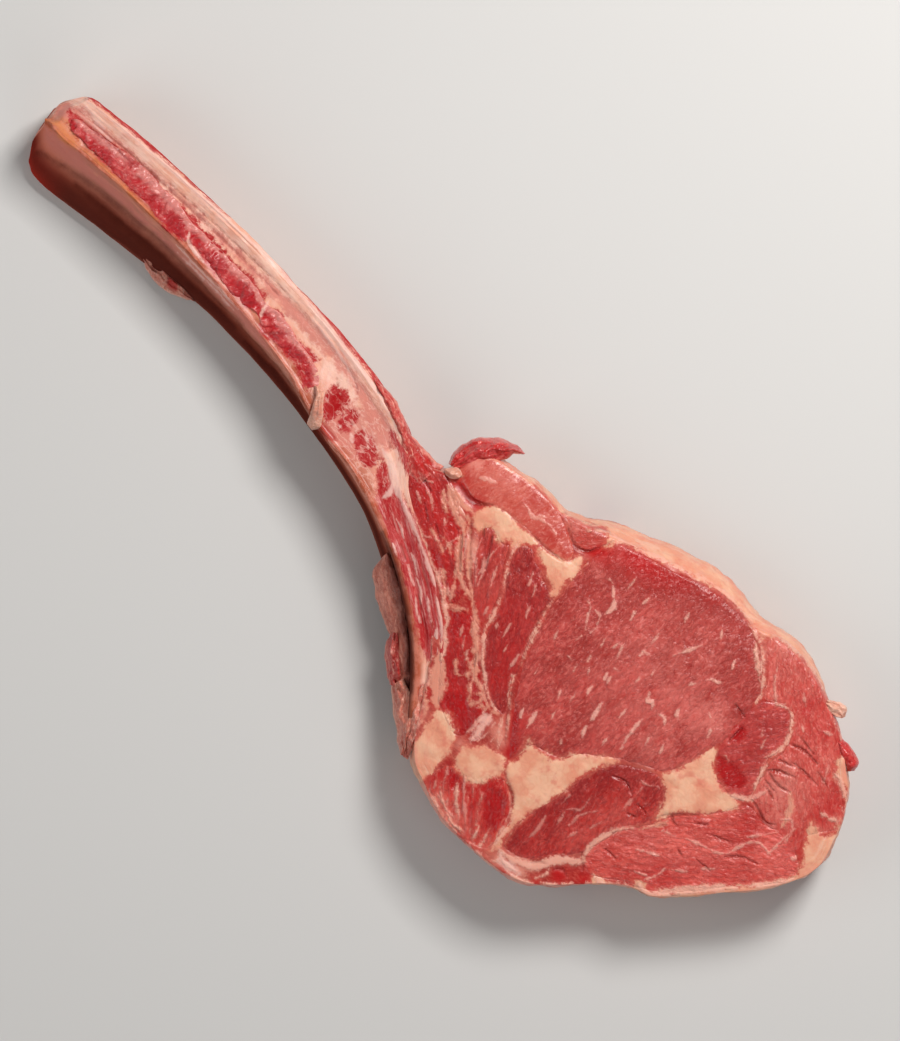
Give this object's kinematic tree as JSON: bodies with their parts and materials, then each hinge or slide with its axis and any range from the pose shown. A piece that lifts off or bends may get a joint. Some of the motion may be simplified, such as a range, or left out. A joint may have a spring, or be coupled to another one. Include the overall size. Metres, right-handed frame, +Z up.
{
  "type": "raw tomahawk steak",
  "caption": "Thick raw beef rib steak with the long curved rib left on, marbled lean muscles held in a web of cream fat, lying flat.",
  "frame": {"origin": "middle of the steak's bounding box, on the surface that it lies on", "axes": "+X from the bare rib end to the far side of the meat, +Y to the fat cap side, +Z up out of the upper cut face"},
  "size_m": [0.4867, 0.1708, 0.0395],
  "materials": {
    "lean": "wet raw lean with fine grain and white marbling",
    "dark_lean": "wet dark red lean",
    "pale_lean": "wet pinkish lean",
    "fat": "waxy cream and peach fat with silverskin",
    "bone": "pale rib with pink film, red marrow side and scraps of fat"
  },
  "bodies": {
    "root": {"rib_bone": "bone", "rib_flesh": "dark_lean", "rib_scrap": "fat", "eye_muscle": "lean", "side_muscle": "dark_lean", "striped_muscle": "dark_lean", "finger_muscle": "dark_lean", "rib_muscle": "dark_lean", "upper_muscle": "pale_lean", "wedge_muscle": "pale_lean", "outer_muscle": "pale_lean", "nugget_muscle": "dark_lean", "lower_muscle": "lean", "tail_muscle": "dark_lean", "chine_muscle": "dark_lean", "fat_and_silverskin": "fat", "curl_flap": "pale_lean"}
  },
  "joints": []
}
